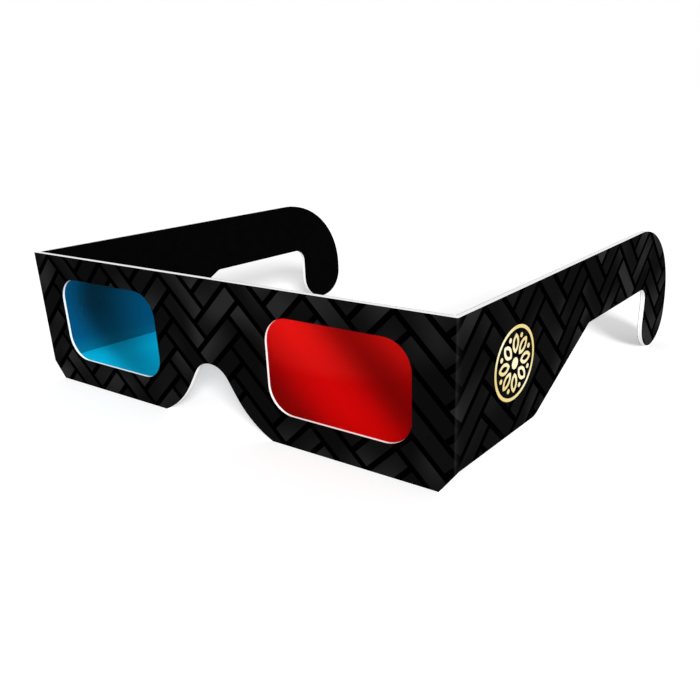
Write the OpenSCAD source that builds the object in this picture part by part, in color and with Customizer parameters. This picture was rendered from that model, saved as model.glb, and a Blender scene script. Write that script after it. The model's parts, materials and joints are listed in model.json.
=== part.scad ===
// Folding card glasses with one red and one cyan film. A printed outer board, lens films and a lining card are
// glued into one sheet, and the two temples swing on creases pressed into it. Left and right are the wearer's.

/* [Front] */
// Height of the front
front_h = 40; // [38:0.5:48]
// Width of the slanted lower outer corners
corner_w = 4; // [2:0.5:6]
// Height of the temples' lower edge above the front's lower edge
step_h = 5.4; // [3:0.1:8]

/* [Lens windows] */
// Distance between the middles of the windows
lens_pitch = 79; // [75:0.5:82]
// Width of a window
lens_w = 40; // [34:0.5:41]
// Distance from a window to the outside of the crease beside it
lens_side = 10.5; // [8:0.5:16]
// Radius of a window's corners
lens_r = 7; // [3:0.5:9]
// Height of the rail under the windows
lens_base = 8.4; // [7:0.1:9.8]
// Height of the rail over the windows
lens_rail = 6.6; // [5.2:0.1:9]

/* [Nose notch] */
// Width of the notch at the front's lower edge
nose_w = 38.8; // [34:0.2:40]
// Height of the notch
nose_h = 17.2; // [14:0.2:20]
// Radius of the notch's top
nose_r = 6.7; // [5:0.1:8]
// Radius of the notch's flared feet
flare_r = 26; // [20:1:30]
// Angle between a flared foot and the front's lower edge
flare_angle = 25; // [15:1:32]

/* [Board, film and lining] */
// Thickness of the printed outer board
board_t = 0.65; // [0.5:0.05:1.2]
// Thickness of the lining card
lining_t = 0.6; // [0.2:0.05:0.8]
// Thickness of the lens films and of the glue between the board and the lining
film_t = 0.15; // [0.1:0.05:0.3]
// How far a film reaches behind the board round its window
film_lap = 4; // [2:0.5:5]
// Radius of a film's corners
film_r = 3; // [1:0.5:5]
// Gap between a film and the glue round it
film_gap = 0.1; // [0.05:0.05:0.4]
// How far the lining is cut back round the windows, so that only the board's edge shows
lining_back = 1.2; // [0.2:0.1:1.8]

/* [Creases] */
// Distance of a crease line from the inner faces that fold together on it
crease_slack = 0.15; // [0.1:0.05:0.3]
// Width of the flat margin of a crease beside the front
crease_flat = 0.3; // [0.2:0.05:0.6]
// Radius of a crease's outer corner
bend_r = 0.4; // [0.2:0.05:0.8]
// Angle that the left temple leans outwards from square
left_splay = 7; // [0:1:20]
// Angle that the right temple leans inwards from square
right_lean = 10; // [0:1:20]

/* [Temples] */
// Length of a temple from its crease line to the back of its hook
temple_l = 125; // [115:1:140]
// Length of the deep panel beside the front
panel_l = 34; // [25:1:42]
// Distance from the crease line to the slim bar
bar_start = 63; // [52:0.5:75]
// Height of the slim bar
bar_h = 18.3; // [14:0.1:22]
// Width of the ear hook
hook_w = 19.5; // [14:0.5:24]
// Radius of the hook's outer bend
hook_r = 28; // [22:1:34]
// Radius at the end of the deep panel
panel_r = 5; // [2:0.5:8]
// Radius where the taper meets the bar
taper_r = 2; // [1:0.5:5]
// Radius of the ear notch
ear_r = 4.6; // [1.5:0.1:6]

/* [Foil stamp] */
// Diameter of the stamp
stamp_d = 18; // [16:0.5:20]
// Width of the stamp's lines
stamp_line = 0.8; // [0.5:0.1:1]
// Number of petals
stamp_petals = 8; // [6:1:9]
// Width of a petal
petal_w = 2.9; // [2.4:0.1:3.1]
// Diameter of the middle dot
stamp_dot_d = 2.8; // [2:0.2:3.4]
// Diameter of the beads between the petals
bead_d = 1.2; // [0.8:0.1:1.6]
// Gap from the petals to the dot and from the petals and beads to the ring
stamp_gap = 1; // [0.6:0.1:1.2]
// Thickness of the foil
foil_t = 0.05; // [0.03:0.01:0.1]
// Distance of the stamp's middle from the crease line
stamp_s = 22.5; // [16:0.5:30]
// Height of the stamp's middle
stamp_z = 23; // [18:0.5:26]

/* [Hidden] */
$fn = 96;
over = 1;                                  // how far a cut runs past what it cuts
past = 0.002;                              // how far an arc runs past a line that it is tangent to
board_black = [0.07, 0.07, 0.075];
lining_black = [0.02, 0.02, 0.02];
sheet_t = board_t + film_t + lining_t;
front_w = lens_pitch + lens_w + 2 * lens_side;
crease_r = sheet_t + crease_slack;         // distance of the outer faces from a crease line
crease_x = front_w / 2 - crease_r;         // the crease lines stand at x = +-crease_x, y = crease_r
front_end = crease_x - crease_flat;
lens_x = lens_pitch / 2;
lens_h = front_h - lens_base - lens_rail;
bar_z = front_h - bar_h;
hook_s = temple_l - hook_w;
tip_r = hook_w / 2;

// The open glasses stand on z = 0 with the origin in the middle of the box round them
reach_x = crease_x + crease_r * cos(left_splay) + temple_l * sin(left_splay);
far_x = crease_x + (crease_r - bend_r) * tan(45 + right_lean / 2) + bend_r;
reach_y = crease_r + max(temple_l * cos(left_splay) - crease_slack * sin(left_splay),
                         temple_l * cos(right_lean) + crease_r * sin(right_lean));
middle = [(reach_x - far_x) / 2, reach_y / 2, 0];

function unit(v) = v / norm(v);
function half_angle(a, b, c) = acos(unit(a - b) * unit(c - b)) / 2;
function tangent_point(a, b, c, r) = b + unit(a - b) * r / tan(half_angle(a, b, c));
function round_middle(a, b, c, r) = b + unit(unit(a - b) + unit(c - b)) * r / sin(half_angle(a, b, c));

// What a round of radius r takes off the corner at b, on the way from a to c
module corner_round(a, b, c, r) {
    m = round_middle(a, b, c, r);
    reach = 1 + over / r;
    translate(m) difference() {
        polygon([[0, 0], (tangent_point(a, b, c, r) - m) * reach, (b - m) * reach,
                 (tangent_point(c, b, a, r) - m) * reach]);
        circle(r + past);
    }
}

// A rectangle with round corners, on its middle
module round_rect(w, h, r) {
    square([w - 2 * r, h], center = true);
    square([w, h - 2 * r], center = true);
    for (x = [-1, 1], z = [-1, 1])
        translate([x * (w / 2 - r), z * (h / 2 - r)]) circle(r);
}

// What the slanted lower outer corner takes off the left end of the front
module corner_cut() {
    polygon([[front_w / 2 - corner_w * (1 + over / step_h), -over], [front_w / 2, step_h],
             [front_w / 2 + crease_r, step_h], [front_w / 2 + crease_r, -over]]);
}

// The bell-shaped nose notch: a round top, straight flanks tangent to it, and feet that flare outwards
module nose_notch() {
    top = [0, nose_h - nose_r];
    flare = [nose_w / 2 + flare_r * sin(flare_angle), flare_r * cos(flare_angle)];
    span = flare - top;
    tilt = atan2(span.y, span.x) + acos((nose_r + flare_r) / norm(span));
    across = [cos(tilt), sin(tilt)];
    translate(top) circle(nose_r + past);
    for (side = [0, 1]) mirror([side, 0]) difference() {
        polygon([top, top + nose_r * across, flare - flare_r * across, flare, [flare.x, -over], [0, -over]]);
        translate(flare) circle(flare_r + past);
    }
}

module front_outline() {
    difference() {
        translate([-front_end, 0]) square([2 * front_end, front_h]);
        for (side = [0, 1]) mirror([side, 0]) corner_cut();
        nose_notch();
    }
}

// Both windows, grown all round by a margin
module windows(margin = 0) {
    for (side = [-1, 1])
        translate([side * lens_x, lens_base + lens_h / 2])
            round_rect(lens_w + 2 * margin, lens_h + 2 * margin, lens_r + margin);
}

// A film's outline, grown all round by a gap
module film_outline(gap = 0) {
    round_rect(lens_w + 2 * (film_lap + gap), lens_h + 2 * (film_lap + gap), film_r + gap);
}

// A temple laid out flat, from its crease line: a deep panel, a taper, a slim bar and the ear hook
module temple_outline() {
    low = [0, step_h];
    bend = [panel_l, step_h];
    rise = [bar_start, bar_z];
    foot = bend - (rise - bend) * step_h / (rise.y - bend.y);
    notch = [hook_s, bar_z];
    heel = [hook_s, 0];
    back = [temple_l, front_h];
    difference() {
        union() {
            translate(low) square([hook_s, front_h - step_h]);
            translate([hook_s, tip_r]) square([hook_w, front_h - tip_r]);
            translate([hook_s + tip_r, tip_r]) circle(tip_r);
        }
        difference() {
            polygon([foot, rise, notch, heel]);
            corner_round(bend, rise, notch, taper_r);
            corner_round(rise, notch, heel, ear_r);
        }
        corner_round(low, bend, rise, panel_r);
        corner_round([0, front_h], back, [temple_l, 0], hook_r);
    }
}

// Stands a flat outline up at depth y behind the front's face, t thick
module upright(y, t) {
    translate([0, y + t, 0]) rotate([90, 0, 0]) linear_extrude(t) children();
}

// Turns a piece built on the left crease line, with its inner side facing -x, to where its temple stands
module on_left() {
    translate([crease_x, crease_r, 0] - middle) rotate([0, 0, -left_splay]) children();
}

module on_right() {
    translate(-middle) mirror([1, 0, 0]) translate([crease_x, crease_r, 0])
        rotate([0, 0, right_lean]) children();
}

// One layer of a temple, from depth d off the crease line outwards
module temple_layer(d, t) {
    translate([d, 0, 0]) rotate([0, 0, 90]) rotate([90, 0, 0]) linear_extrude(t) temple_outline();
}

// The section of a bend round the crease line: a tight roll inside and a crisp, slightly rounded corner outside
module bend_section(fold) {
    from = [0, -crease_r];
    corner = [crease_r * tan(fold / 2), -crease_r];
    to = [crease_r * sin(fold), -crease_r * cos(fold)];
    difference() {
        polygon([[0, 0], from, corner, to]);
        corner_round(from, corner, to, bend_r);
        circle(crease_slack);
    }
}

// The bent strip of card between the front and the left temple, turned through a fold angle
module crease(fold) {
    difference() {
        union() {
            translate([front_end, 0, 0]) cube([crease_flat, sheet_t, front_h]);
            translate([crease_x, crease_r, 0]) linear_extrude(front_h) bend_section(fold);
        }
        upright(-over, 2 * (crease_r + over)) corner_cut();
    }
}

module film(side) {
    translate([side * lens_x, 0, lens_base + lens_h / 2]) upright(board_t, film_t) film_outline();
}

module front_board() {
    color(board_black) translate(-middle) upright(0, board_t)
        difference() {
            front_outline();
            windows();
        }
}

module front_glue() {
    color("ivory") translate(-middle) upright(board_t, film_t)
        difference() {
            front_outline();
            for (side = [-1, 1])
                translate([side * lens_x, lens_base + lens_h / 2]) film_outline(film_gap);
        }
}

module front_lining() {
    color(lining_black) translate(-middle) upright(board_t + film_t, lining_t)
        difference() {
            front_outline();
            windows(lining_back);
        }
}

module red_film() { color("red", 0.8) translate(-middle) film(1); }

module cyan_film() { color("deepskyblue", 0.8) translate(-middle) film(-1); }

module left_temple_board() { color(board_black) on_left() temple_layer(crease_r - board_t, board_t); }

module left_temple_glue() { color("ivory") on_left() temple_layer(crease_slack + lining_t, film_t); }

module left_temple_lining() { color(lining_black) on_left() temple_layer(crease_slack, lining_t); }

module right_temple_board() { color(board_black) on_right() temple_layer(crease_r - board_t, board_t); }

module right_temple_glue() { color("ivory") on_right() temple_layer(crease_slack + lining_t, film_t); }

module right_temple_lining() { color(lining_black) on_right() temple_layer(crease_slack, lining_t); }

module left_crease() { color(board_black) translate(-middle) crease(90 - left_splay); }

module right_crease() { color(board_black) translate(-middle) mirror([1, 0, 0]) crease(90 + right_lean); }

// A leaf along the x axis with two equal arcs for sides, drawn in all round by an inset
module petal(from, to, inset) {
    half = (to - from) / 2;
    r = (half * half + petal_w * petal_w / 4) / petal_w;
    translate([from + half, 0]) intersection() {
        translate([0, r - petal_w / 2]) circle(r - inset);
        translate([0, petal_w / 2 - r]) circle(r - inset);
    }
}

// A round stamp on the outside of the left temple's panel: a ring round a rosette of petals and beads
module foil_stamp() {
    petal_from = stamp_dot_d / 2 + stamp_gap;
    petal_to = stamp_d / 2 - stamp_line - stamp_gap;
    turn = 360 / stamp_petals;
    color("gold") on_left() translate([crease_r, stamp_s, stamp_z]) rotate([90, 0, 90])
        linear_extrude(foil_t) {
            difference() {
                circle(d = stamp_d);
                circle(d = stamp_d - 2 * stamp_line);
            }
            circle(d = stamp_dot_d);
            for (k = [0 : stamp_petals - 1]) rotate(k * turn) {
                difference() {
                    petal(petal_from, petal_to, 0);
                    petal(petal_from, petal_to, stamp_line);
                }
                rotate(turn / 2) translate([petal_to - bead_d / 2, 0]) circle(d = bead_d);
            }
        }
}

front_board();
front_glue();
front_lining();
red_film();
cyan_film();
left_temple_board();
left_temple_glue();
left_temple_lining();
right_temple_board();
right_temple_glue();
right_temple_lining();
left_crease();
right_crease();
foil_stamp();
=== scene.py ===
import json
from math import cos, dist, floor, pi, radians, sin, sqrt, tan

import bpy
from mathutils import Matrix, Vector


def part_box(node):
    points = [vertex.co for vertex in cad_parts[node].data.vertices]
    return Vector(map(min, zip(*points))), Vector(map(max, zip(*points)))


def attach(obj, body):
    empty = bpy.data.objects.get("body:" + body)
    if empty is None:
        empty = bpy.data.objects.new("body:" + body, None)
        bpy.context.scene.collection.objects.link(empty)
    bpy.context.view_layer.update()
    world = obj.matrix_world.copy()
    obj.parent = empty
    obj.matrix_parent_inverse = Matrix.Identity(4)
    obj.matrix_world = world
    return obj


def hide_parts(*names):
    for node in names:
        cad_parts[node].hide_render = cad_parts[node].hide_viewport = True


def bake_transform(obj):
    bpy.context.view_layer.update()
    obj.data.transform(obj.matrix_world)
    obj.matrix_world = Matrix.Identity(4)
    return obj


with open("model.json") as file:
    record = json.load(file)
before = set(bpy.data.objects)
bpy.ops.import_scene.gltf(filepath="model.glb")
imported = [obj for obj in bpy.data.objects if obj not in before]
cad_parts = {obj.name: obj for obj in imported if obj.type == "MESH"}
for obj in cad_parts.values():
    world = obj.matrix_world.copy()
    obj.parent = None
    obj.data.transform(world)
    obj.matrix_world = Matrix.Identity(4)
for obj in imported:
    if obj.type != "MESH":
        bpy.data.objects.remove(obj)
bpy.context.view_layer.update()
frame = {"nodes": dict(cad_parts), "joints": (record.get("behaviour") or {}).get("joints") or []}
cad = frame["nodes"]

# Printed board of the front: white-core paperboard, printed solid black and die-cut. A herringbone of bars
# in satin varnish lies on the ink. Windows, nose notch and outline are cut through, so that the core shows
# white at their edges. Left and right are the wearer's throughout.
mm = 0.001
leftwards, forwards, upwards = Vector((1, 0, 0)), Vector((0, -1, 0)), Vector((0, 0, 1))
left_crease_line, right_crease_line = (Vector(joint["pos_m"]) for joint in frame["joints"])
front_middle = (left_crease_line.x + right_crease_line.x) / 2
crease_half = (left_crease_line.x - right_crease_line.x) / 2


class Wire:
    """An output of a shader node. Sums with it add Math nodes beside that node."""

    def __init__(self, socket):
        self.socket = socket

    def node(self, kind, settings=None, inputs=None, out=0):
        """Adds a node of a kind: its settings first, then the values or wires of its sockets."""
        tree = self.socket.id_data
        made = tree.nodes.new(kind)
        for name, value in (settings or {}).items():
            setattr(made, name, value)
        for key, value in (inputs or {}).items():
            if isinstance(value, Wire):
                tree.links.new(value.socket, made.inputs[key])
            else:
                made.inputs[key].default_value = value
        return Wire(made.outputs[out])

    def math(self, operation, *values):
        return self.node("ShaderNodeMath", {"operation": operation}, dict(enumerate(values)))

    def __add__(self, other):
        return self.math("ADD", self, other)

    def __sub__(self, other):
        return self.math("SUBTRACT", self, other)

    def __rsub__(self, other):
        return self.math("SUBTRACT", other, self)

    def __mul__(self, other):
        return self.math("MULTIPLY", self, other)

    def __truediv__(self, other):
        return self.math("DIVIDE", self, other)

    def __mod__(self, other):
        return self.math("FLOORED_MODULO", self, other)

    def __lt__(self, other):
        return self.math("LESS_THAN", self, other)

    def __gt__(self, other):
        return self.math("GREATER_THAN", self, other)

    def __abs__(self):
        return self.math("ABSOLUTE", self)

    def __floor__(self):
        return self.math("FLOOR", self)

    __radd__ = __add__
    __rmul__ = __mul__

    def exp(self):
        return self.math("EXPONENT", self)

    def clamped(self):
        return self.node("ShaderNodeClamp", inputs={"Value": self})

    def into(self, shader, name):
        self.socket.id_data.links.new(self.socket, shader.inputs[name])


def scaled(place, factors):
    """A place with each coordinate multiplied by its own factor."""
    return place.node("ShaderNodeVectorMath", {"operation": "MULTIPLY"}, {0: place, 1: factors})


def new_finish(name, fixed, coordinates="Object"):
    """A material, its shader with what is the same all over, and the place on it in millimetres."""
    material = bpy.data.materials.new(name)
    material.use_nodes = True
    shader = material.node_tree.nodes["Principled BSDF"]
    for socket, value in fixed.items():
        shader.inputs[socket].default_value = value
    metres = Wire(shader.outputs["BSDF"]).node("ShaderNodeTexCoord", out=coordinates)
    return material, shader, scaled(metres, (1 / mm, 1 / mm, 1 / mm))


def along(place, way):
    """How far a place lies along a way, from the frame's origin."""
    return place.node("ShaderNodeVectorMath", {"operation": "DOT_PRODUCT"}, {0: place, 1: way}, out="Value")


def mix(share, colour, other):
    """A share of the other colour in a colour, by the sockets that a Mix node has for colours."""
    return share.node("ShaderNodeMix", {"data_type": "RGBA"}, {0: share, 6: colour, 7: other}, out=2)


def between(share, low, high):
    """A value from low to high, by a share of 0 to 1."""
    return low + (high - low) * share


def rising(value, start, end):
    """0 to 1 as a value rises from a start to an end."""
    return ((value - start) / (end - start)).clamped()


def least(value, other):
    """The lesser of two values."""
    return value.math("MINIMUM", value, other)


def joined(x, y, z):
    """A place of three coordinates."""
    return x.node("ShaderNodeCombineXYZ", inputs={"X": x, "Y": y, "Z": z})


def noise(place, scale, detail):
    """Soft noise from 0 to 1 at a place in millimetres, with blotches about 1 / scale across."""
    return place.node("ShaderNodeTexNoise", inputs={"Vector": place, "Scale": scale, "Detail": detail})


def bump(height, depth):
    """A surface normal from a height of 0 to 1 that stands for a depth in millimetres."""
    return height.node("ShaderNodeBump", inputs={"Height": height, "Distance": depth * mm})


# The print is laid out on the flat sheet, in millimetres: u from the middle of the front, v from its foot.
bar_pitch = 5.6
bar_gap = 1.4
bar_blur = 0.12
pitches_per_bar = 3


def herringbone(u, v):
    """The bars' mask, and a random number for each bar."""
    x = (u + v) / (bar_pitch * sqrt(2))
    y = (v - u) / (bar_pitch * sqrt(2))
    column = floor(x)
    row = floor(y)
    run = (column - row) % (2 * pitches_per_bar)
    rise = (row - column - 1) % (2 * pitches_per_bar)
    lying = run < pitches_per_bar
    standing = 1 - lying
    way = lying * (run + x - column) + standing * (rise + y - row)
    across = lying * (y - row) + standing * (x - column)
    to_edge = least(least(across, 1 - across), least(way, pitches_per_bar - way))
    mask = rising(to_edge * bar_pitch, (bar_gap - bar_blur) / 2, (bar_gap + bar_blur) / 2)
    first_cell = joined(column - lying * run, row - standing * rise, lying)
    chance = x.node("ShaderNodeTexWhiteNoise", {"noise_dimensions": "3D"}, {"Vector": first_cell})
    return mask, chance


# Tones are shares of the bars' grey in the ink, and a pair gives the least and the most. Light patches of
# painted sheen come from soft noise, in which each bar has a place of its own. At the fold, just past the
# crease line, a painted highlight lightens the ink and fades along the temple.
ink_black = (0.0002, 0.0002, 0.0002, 1)
bar_grey = (0.030, 0.030, 0.031, 1)
bar_tones = (0.085, 0.13)
painted_sheen_tone = 0.38
sheen_patch_scale = 0.055
sheen_patch_levels = (0.40, 0.7125)
sheen_patch_start = 111
jump_along = 90
jump_aside = 50
fold_highlight_tones = (0.13, 0.39)
fold_highlight_offset = 0.95
fold_highlight_blur = 0.3
fold_highlight_fade = 1.2
ink_rough = 0.66
bar_rough = 0.44
fibre_rough = 0.10
varnish_weights = (0.004, 0.034)
bar_height = 0.8


def print_skin(place, u, v):
    """The black ink and satin bars, painted sheen and fold highlight included: colour, roughness, varnish,
    height.
    """
    mask, chance = herringbone(u, v)
    # Painted sheen: soft light patches that lighten the bars' colour; the varnish weight follows them too.
    spot = joined(u + jump_along * chance, v, sheen_patch_start + jump_aside * chance)
    sheen_patch = rising(noise(spot, sheen_patch_scale, detail=0), *sheen_patch_levels)
    fibre = noise(place, scale=5, detail=3)
    # Painted highlight: the ink lightens just past the crease line and fades along the temple.
    past_fold = abs(u) - (crease_half / mm + fold_highlight_offset)
    fold_highlight = (past_fold * -fold_highlight_fade).exp() * rising(past_fold, -fold_highlight_blur / 2, fold_highlight_blur / 2)
    bars = mask * (between(chance, *bar_tones) + painted_sheen_tone * sheen_patch * sheen_patch)
    tone = bars + fold_highlight * between(fibre, *fold_highlight_tones)
    return {
        "colour": mix(tone.clamped(), ink_black, bar_grey),
        "roughness": between(mask, ink_rough, bar_rough) + fibre_rough * (fibre - 0.5),
        "varnish": mask * between(sheen_patch, *varnish_weights),
        "height": bar_height * mask + (1 - bar_height) * fibre,
    }


def printed(way, start):
    """A flat stretch of print, which runs along a way and has its place start at the frame's origin."""
    def skin(place):
        return print_skin(place, along(place, way) + start / mm, along(place, upwards))
    return skin


core_white = (0.985, 0.985, 0.98, 1)
core_shade = (0.945, 0.94, 0.93, 1)
core_rough = 0.9
ink_depth = 0.02
relief_depth = 0.015
card_gloss = {"Specular IOR Level": 0.0, "Coat Roughness": 0.32, "Coat IOR": 1.4}


def dress(piece, material):
    """Gives a CAD piece its finish in place of the plain one."""
    piece.data.materials.clear()
    piece.data.materials.append(material)


def card_finish(name, piece, outward, skin, skin_depth):
    """Card with a skin of some depth on the face towards outward, and its white core at the cut edges."""
    material, shader, place = new_finish(name, card_gloss)
    face = max(corner.co.dot(outward) for corner in piece.data.vertices) / mm
    on_face = face - along(place, outward) < skin_depth
    looks = skin(place)
    core = mix(noise(place, scale=1.6, detail=4), core_white, core_shade)
    mix(on_face, core, looks["colour"]).into(shader, "Base Color")
    between(on_face, core_rough, looks["roughness"]).into(shader, "Roughness")
    if "varnish" in looks:
        (on_face * looks["varnish"]).into(shader, "Coat Weight")
    bump(looks["height"], relief_depth).into(shader, "Normal")
    dress(piece, material)


card_finish("front_print", cad["front_board"], forwards, printed(leftwards, -front_middle), ink_depth)

# Lens films: thin dyed plastic, red before the wearer's left eye and cyan before the right. Each is glued
# in behind its window and is slightly slack there, so the sheet bulges and ripples a little. Its tint holds
# painted light and shade: soft darker bands of painted shade slant down it, and a soft line parts a lighter
# and a darker painted part of the tint.
film_lap = 4 * mm
film_r = 3 * mm
film_slack = 0.12 * mm
film_ripple = 0.1 * mm
ripple_across = 5 * mm
ripple_up = 9 * mm
film_clearness = {"Transmission Weight": 0.81, "IOR": 1.04}


def new_piece(name, points, faces):
    """A smooth-shaded mesh object of points and faces, in the frame's metres."""
    mesh = bpy.data.meshes.new(name)
    mesh.from_pydata(points, [], faces)
    mesh.shade_smooth()
    mesh.set_sharp_from_angle(angle=radians(35))
    piece = bpy.data.objects.new(name, mesh)
    bpy.context.scene.collection.objects.link(piece)
    return piece


def film_sheet(name, node):
    """A film with round corners, which bulges and ripples a little where its window leaves it free."""
    low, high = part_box(node)
    middle = (low + high) / 2
    half_w, half_h = (high.x - low.x) / 2, (high.z - low.z) / 2
    corner_steps, side_steps, cross_steps = 6, 30, 44
    turns = [pi / 2 * step / corner_steps for step in range(corner_steps + 1)]
    rounds = [(half_h - film_r * (1 - sin(turn)), half_w - film_r * (1 - cos(turn))) for turn in turns]
    straight = half_h - film_r
    levels = [(-z, w) for z, w in reversed(rounds)]
    levels += [(straight * (2 * step / side_steps - 1), half_w) for step in range(1, side_steps)]
    levels += rounds
    points, faces = [], []
    for y in (low.y, high.y):
        for z, w in levels:
            for step in range(cross_steps + 1):
                x = w * (2 * step / cross_steps - 1)
                free_x = max(0, 1 - (x / (half_w - film_lap)) ** 2)
                free_z = max(0, 1 - (z / (half_h - film_lap)) ** 2)
                swell = film_slack + film_ripple * sin(x / ripple_across + z / ripple_up)
                points.append((middle.x + x, y + free_x * free_z * swell, middle.z + z))
    columns = cross_steps + 1
    grid = [range(columns * row, columns * (row + 1)) for row in range(len(levels))]
    back = columns * len(levels)
    for lower, upper in zip(grid, grid[1:]):
        for step in range(cross_steps):
            quad = [lower[step], lower[step + 1], upper[step + 1], upper[step]]
            faces.append(quad)
            faces.append([back + corner for corner in reversed(quad)])
    rim = [*grid[0], *(row[-1] for row in grid[1:])]
    rim += [*grid[-1][-2::-1], *(row[0] for row in grid[-2:0:-1])]
    for here, there in zip(rim, rim[1:] + rim[:1]):
        faces.append([there, here, back + here, back + there])
    return new_piece(name, points, faces)


def film_finish(node, piece, tints, shade_bands, line):
    """Dyed film with painted light and shade: clear tint above, low tint under a soft line, painted-shade
    bands.
    """
    material, shader, place = new_finish(node, film_clearness)
    low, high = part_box(node)
    middle = (low + high) / 2 / mm
    u = along(place, leftwards) - middle.x
    v = along(place, upwards) - middle.z
    drift = noise(place, scale=0.06, detail=0) - 0.5
    # Painted shade: soft slanting bands that darken the tint.
    bent = u + shade_bands["slope"] * v - shade_bands["bow"] * v * v + drift - shade_bands["at"]
    across = bent / sqrt(1 + shade_bands["slope"] ** 2)
    from_band = (across + shade_bands["pitch"] / 2) % shade_bands["pitch"] - shade_bands["pitch"] / 2
    ratio = from_band / between(from_band > 0, *shade_bands["widths"])
    depth = (shade_bands["depth"] + shade_bands["deepens"] * v).clamped()
    shade = (0 - ratio * ratio).exp() * depth
    # Painted light and shade: the tint turns from clear to low across a soft line.
    to_line = line["height"] + line["rise"] * u + line["curve"] * u * u - v
    under = rising(to_line, -line["blur"] / 2, line["blur"] / 2)
    tint = mix(under, tints["clear"], tints["low"])
    mix(shade, tint, tints["deep"]).into(shader, "Base Color")
    between(noise(place, scale=0.5, detail=3), low=0.01, high=0.04).into(shader, "Roughness")
    piece.data.materials.append(material)


# Bands of painted shade, and the line between painted lighter and darker tints, lie in millimetres from the
# window's middle. A band has one width towards the wearer's right and one towards the left, and its depth
# is the share of the painted-shade tint.
red_tints = {
    "clear": (0.722, 0.0077, 0.0061, 1),
    "low": (0.705, 0.0022, 0.0025, 1),
    "deep": (0.20, 0.0012, 0.0010, 1),
}
red_shade_bands = {
    "at": 14.8,
    "slope": 0.97,
    "bow": 0.0,
    "pitch": 29.2,
    "widths": (6.7, 8.9),
    "depth": 0.85,
    "deepens": 0.0,
}
red_line = {"height": 0.27, "rise": 0.093, "curve": 0.0074, "blur": 2.6}
cyan_tints = {
    "clear": (0.0001, 0.285, 0.625, 1),
    "low": (0.0001, 0.53, 0.81, 1),
    "deep": (0.0001, 0.063, 0.126, 1),
}
cyan_shade_bands = {
    "at": -3.7,
    "slope": 0.65,
    "bow": 0.047,
    "pitch": 60,
    "widths": (8.9, 15.9),
    "depth": 0.83,
    "deepens": 0.03,
}
cyan_line = {"height": -4.1, "rise": 0.29, "curve": 0.0, "blur": 7.0}
films = (
    ("red_film", red_tints, red_shade_bands, red_line),
    ("cyan_film", cyan_tints, cyan_shade_bands, cyan_line),
)
for node, tints, shade_bands, line in films:
    film = film_sheet(f"{node}_sheet", node)
    film_finish(node, film, tints, shade_bands, line)
    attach(film, "front")
    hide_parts(node)

# Glue between the layers of the front and of the temples: a brushed coat of white glue, dried clear at the
# thin spots. Only its edge shows, as a fine line in the cut edges.
glue_white = (0.90, 0.89, 0.86, 1)
glue_clear = (0.72, 0.70, 0.64, 1)
glue, glue_shader, glue_place = new_finish("dried_glue", {"Specular IOR Level": 0.3})
streaks = noise(glue_place, scale=0.9, detail=3)
mix(streaks, glue_white, glue_clear).into(glue_shader, "Base Color")
between(streaks, low=0.42, high=0.72).into(glue_shader, "Roughness")
for layer in ("front_glue", "left_temple_glue", "right_temple_glue"):
    dress(cad[layer], glue)

# Lining of the front: thin card with a white core and a plain matt black face towards the wearer, which
# keeps stray light out. Its windows are a little larger than the board's, and it is glued to its back.
lining_black = (0.0003, 0.0003, 0.0003, 1)
lining_fibre = (0.0026, 0.0026, 0.0027, 1)
dye_depth = 0.1


def lining_skin(place):
    """Plain black card: its colour, roughness and felt-like height."""
    fibre = noise(place, scale=2.4, detail=5)
    cloud = noise(place, scale=0.3, detail=3)
    return {
        "colour": mix((fibre + cloud) / 2, lining_black, lining_fibre),
        "roughness": between(fibre, low=0.74, high=0.90),
        "height": fibre,
    }


card_finish("front_lining", cad["front_lining"], -forwards, lining_skin, dye_depth)

# Temples: the same board, glue and lining carried on past the creases to an ear hook. The print runs on
# round the crease without a break, and the lining's black face looks inwards. At its lower limit a temple
# lies in line with the front, so that limit gives the angle that the sheet turns through at rest.
left_turn, right_turn = (-radians(joint["range_deg"][0]) for joint in frame["joints"])
sides = (("left", 1, left_turn, left_crease_line), ("right", -1, right_turn, right_crease_line))
run_out = {side: Vector((hand * cos(turn), sin(turn), 0)) for side, hand, turn, _ in sides}
outward = {side: Vector((hand * sin(turn), -cos(turn), 0)) for side, hand, turn, _ in sides}
front_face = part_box("front_board")[0].y
crease_r = left_crease_line.y - front_face
for side, hand, turn, crease_line in sides:
    way = hand * run_out[side]
    start = hand * (crease_half + crease_r * turn) - way.dot(crease_line)
    board, lining = cad[f"{side}_temple_board"], cad[f"{side}_temple_lining"]
    card_finish(f"{side}_temple_print", board, outward[side], printed(way, start), ink_depth)
    card_finish(f"{side}_temple_lining", lining, -outward[side], lining_skin, dye_depth)

# Creases: strips of the same sheet, pressed soft so that they bend as living hinges. The ink turns a crisp
# outer corner and is finely cracked there, and the print's painted highlight lies just past the crease
# line.
# The lining is tightly rolled, and the ends are white.
# The strip's foot follows the front's slanted lower corner, which is corner_w wide and step_h high.
corner_w = 4 * mm
step_h = 5.4 * mm
crease_slack = 0.15 * mm
crease_flat = 0.3 * mm
bend_r = 0.4 * mm
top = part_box("front_board")[1].z
crack_scales = (3.0, 0.12, 1)
wrinkle_scales = (6, 0.3, 1)
printed_face, lined_face, cut_face = 0, 1, 2


def outer_section(turn):
    """The outside of a crease from above: along the front, round the corner, along the temple."""
    leg_steps, bend_steps = 5, 12
    bend_in = crease_r - bend_r
    leg = bend_in * tan(turn / 2)
    ways = [leg * step / leg_steps for step in range(leg_steps)]
    bends = [turn * step / bend_steps for step in range(bend_steps + 1)]
    section = [(way, -crease_r) for way in ways]
    section += [(leg + bend_r * sin(bend), -bend_in - bend_r * cos(bend)) for bend in bends]
    for way in reversed(ways):
        section.append((crease_r * sin(turn) - way * cos(turn), -crease_r * cos(turn) - way * sin(turn)))
    return section


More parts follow.
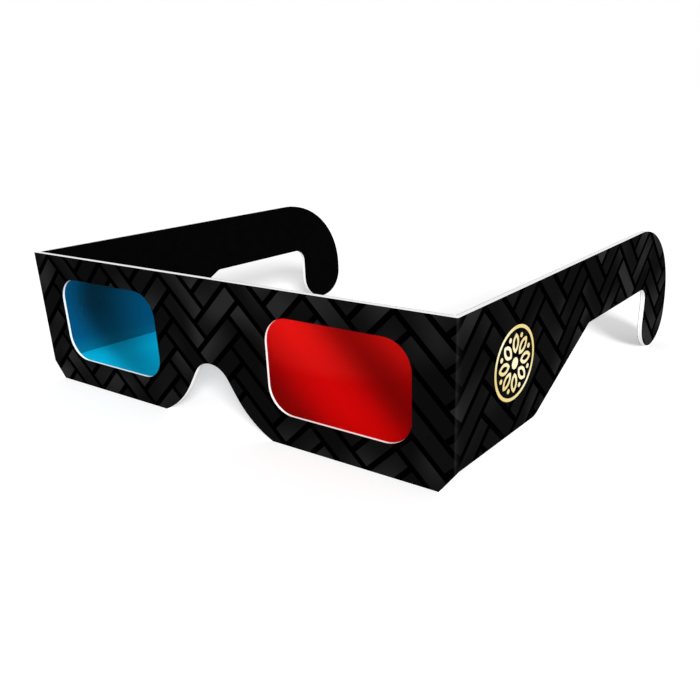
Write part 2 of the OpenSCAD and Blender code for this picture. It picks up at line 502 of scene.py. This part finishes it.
def crease_strip(name, hand, turn, crease_line):
    """A bent strip from the front's flat margin to the temple, with the print's place in its UV map."""
    outside = outer_section(turn)
    steps = len(outside) - 1
    lengths = [dist(here, there) for here, there in zip(outside, outside[1:])]
    travel = [crease_r * turn * sum(lengths[:step]) / sum(lengths) for step in range(steps + 1)]
    rolls = [turn * step / steps for step in range(steps + 1)]
    inside = [(crease_slack * sin(roll), -crease_slack * cos(roll)) for roll in rolls]
    margin = ((-crease_flat, -crease_r), (-crease_flat, -crease_slack), -crease_flat)
    points, prints = [], []
    for outer, inner, way in [margin, *zip(outside, inside, travel)]:
        foot = step_h * (min(outer[0], crease_r) + corner_w - crease_r) / corner_w
        for x, y in (outer, inner):
            for z in (foot, top):
                points.append((crease_line.x + hand * x, crease_line.y + y, z))
                prints.append((hand * (crease_half + way), z))
    per_step = 4
    last = len(points) - per_step
    faces = [([0, 1, 3, 2], cut_face), ([last, last + 2, last + 3, last + 1], cut_face)]
    for a in range(0, last, per_step):
        b = a + per_step
        faces += [
            ([a, b, b + 1, a + 1], printed_face),
            ([a + 2, a + 3, b + 3, b + 2], lined_face),
            ([a, a + 2, b + 2, b], cut_face),
            ([a + 1, b + 1, b + 3, a + 3], cut_face),
        ]
    strip = new_piece(name, points, [corners[::hand] for corners, _ in faces])
    layer = strip.data.uv_layers.new(name="print")
    for loop in strip.data.loops:
        layer.data[loop.index].uv = prints[loop.vertex_index]
    for polygon, (_, kind) in zip(strip.data.polygons, faces):
        polygon.material_index = kind
    return strip


def crease_print():
    """The outside of a crease: the same ink and bars, with fine cracks along the bend."""
    material, shader, place = new_finish("crease_print", card_gloss, coordinates="UV")
    # The print's painted sheen and painted fold highlight carry on round the bend.
    looks = print_skin(place, along(place, (1, 0, 0)), along(place, (0, 1, 0)))
    cracks = noise(scaled(place, crack_scales), scale=1.0, detail=4)
    looks["colour"].into(shader, "Base Color")
    looks["roughness"].into(shader, "Roughness")
    looks["varnish"].into(shader, "Coat Weight")
    bump(cracks, depth=0.03).into(shader, "Normal")
    return material


def crease_lining():
    """The inside of a crease: the black lining, crushed into fine upright wrinkles."""
    material, shader, place = new_finish("crease_lining", card_gloss, coordinates="UV")
    wrinkles = noise(scaled(place, wrinkle_scales), scale=1.0, detail=3)
    mix(wrinkles, lining_black, lining_fibre).into(shader, "Base Color")
    between(wrinkles, low=0.7, high=0.9).into(shader, "Roughness")
    bump(wrinkles, depth=0.05).into(shader, "Normal")
    return material


def crease_core():
    """The cut ends of a crease: white core with the layers pressed together."""
    material, shader, place = new_finish("crease_core", card_gloss)
    plies = noise(place, scale=1.6, detail=4)
    mix(plies, core_white, core_shade).into(shader, "Base Color")
    between(plies, low=0.85, high=0.95).into(shader, "Roughness")
    return material


crease_finishes = [crease_print(), crease_lining(), crease_core()]
for side, hand, turn, crease_line in sides:
    strip = crease_strip(f"{side}_crease_strip", hand, turn, crease_line)
    for finish in crease_finishes:
        strip.data.materials.append(finish)
    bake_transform(strip)
    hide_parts(f"{side}_crease")

# Foil stamp: a rosette hot-stamped in gold foil on the outside of the left temple, a hair proud of the ink.
# The foil is smooth metal, deeper gold, with a painted highlight of pale gold on a slanting line through
# the middle.
painted_highlight_gold = (1.0, 0.93, 0.62, 1)
gold_deep = (0.82, 0.65, 0.24, 1)
highlight_reach = 9
highlight_drift = 0.7
gold, gold_shader, gold_place = new_finish("gold_foil", {"Metallic": 1.0})
stamp_low, stamp_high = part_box("foil_stamp")
stamp_middle = (stamp_low + stamp_high) / 2 / mm
slant = run_out["left"] + upwards
off_highlight = (along(gold_place, slant) - slant.dot(stamp_middle)) / highlight_reach
drift = highlight_drift * (noise(gold_place, scale=0.2, detail=1) - 0.5)
# Painted highlight: pale gold along the slanting line, deeper gold away from it.
mix((abs(off_highlight) + drift).clamped(), painted_highlight_gold, gold_deep).into(gold_shader, "Base Color")
grain = noise(gold_place, scale=6, detail=3)
between(grain, low=0.20, high=0.36).into(gold_shader, "Roughness")
bump(grain, depth=0.004).into(gold_shader, "Normal")
dress(cad["foil_stamp"], gold)

# Studio: a white floor under an even white sky with one large soft lamp, and a camera at the height of a
# seated viewer, off the wearer's left. Floor and sky show whiter than they light the object.
floor_reach = 6.0
floor_drop = 0.02 * mm
floor_white = (0.90, 0.90, 0.90, 1)
no_lift = (0, 0, 0, 1)
floor_lift = (0.295, 0.295, 0.295, 1)
sky_white = (1, 1, 1, 1)
sky_strength = 0.45


def seen(beside):
    """1 on the rays that show a surface, straight or in gloss and films, and 0 on those that light."""
    kinds = ("Camera", "Glossy", "Transmission")
    rays = [beside.node("ShaderNodeLightPath", out=f"Is {kind} Ray") for kind in kinds]
    return sum(rays[1:], rays[0]).clamped()


def bearing(azimuth, elevation):
    """The way from the object to a place round it. Azimuth 0 is before the front, and grows leftwards."""
    return Vector((sin(azimuth) * cos(elevation), -cos(azimuth) * cos(elevation), sin(elevation)))


square = ((-1, -1), (1, -1), (1, 1), (-1, 1))
floor_corners = [(x * floor_reach, y * floor_reach, -floor_drop) for x, y in square]
ground = new_piece("floor", floor_corners, [(0, 1, 2, 3)])
floor_fixed = {
    "Base Color": floor_white,
    "Roughness": 1.0,
    "Specular IOR Level": 0.0,
    "Emission Strength": 1.0,
}
white, white_shader, white_place = new_finish("floor", floor_fixed)
mix(seen(white_place), no_lift, floor_lift).into(white_shader, "Emission Color")
ground.data.materials.append(white)

sky = bpy.data.worlds.new("studio")
sky.use_nodes = True
bpy.context.scene.world = sky
background = sky.node_tree.nodes["Background"]
background.inputs["Color"].default_value = sky_white
shown = seen(Wire(background.outputs["Background"]))
between(shown, sky_strength, 1).into(background, "Strength")

lamp_data = bpy.data.lights.new("soft_lamp", "SUN")
lamp_data.energy = 3.35
lamp_data.angle = radians(20)
lamp = bpy.data.objects.new("soft_lamp", lamp_data)
bpy.context.scene.collection.objects.link(lamp)
to_lamp = bearing(azimuth=radians(48), elevation=radians(26))
lamp.rotation_euler = to_lamp.to_track_quat("Z", "Y").to_euler()

camera_data = bpy.data.cameras.new("camera")
camera_data.sensor_width = 36.0
camera_data.lens = 35.859
camera_data.clip_start = 10 * mm
camera = bpy.data.objects.new("camera", camera_data)
bpy.context.scene.collection.objects.link(camera)
target = Vector((front_middle, front_face, 0)) + Vector((2.412, 60.0, 1.795)) * mm
distance = 230.193 * mm
roll = radians(-2.243)
to_camera = bearing(azimuth=radians(34.811), elevation=radians(20.345))
level_view = to_camera.to_track_quat("Z", "Y").to_matrix().to_4x4()
rolled_view = level_view @ Matrix.Rotation(roll, 4, "Z")
camera.matrix_world = Matrix.Translation(target + distance * to_camera) @ rolled_view
bpy.context.scene.camera = camera
bpy.context.scene.view_settings.view_transform = "Standard"
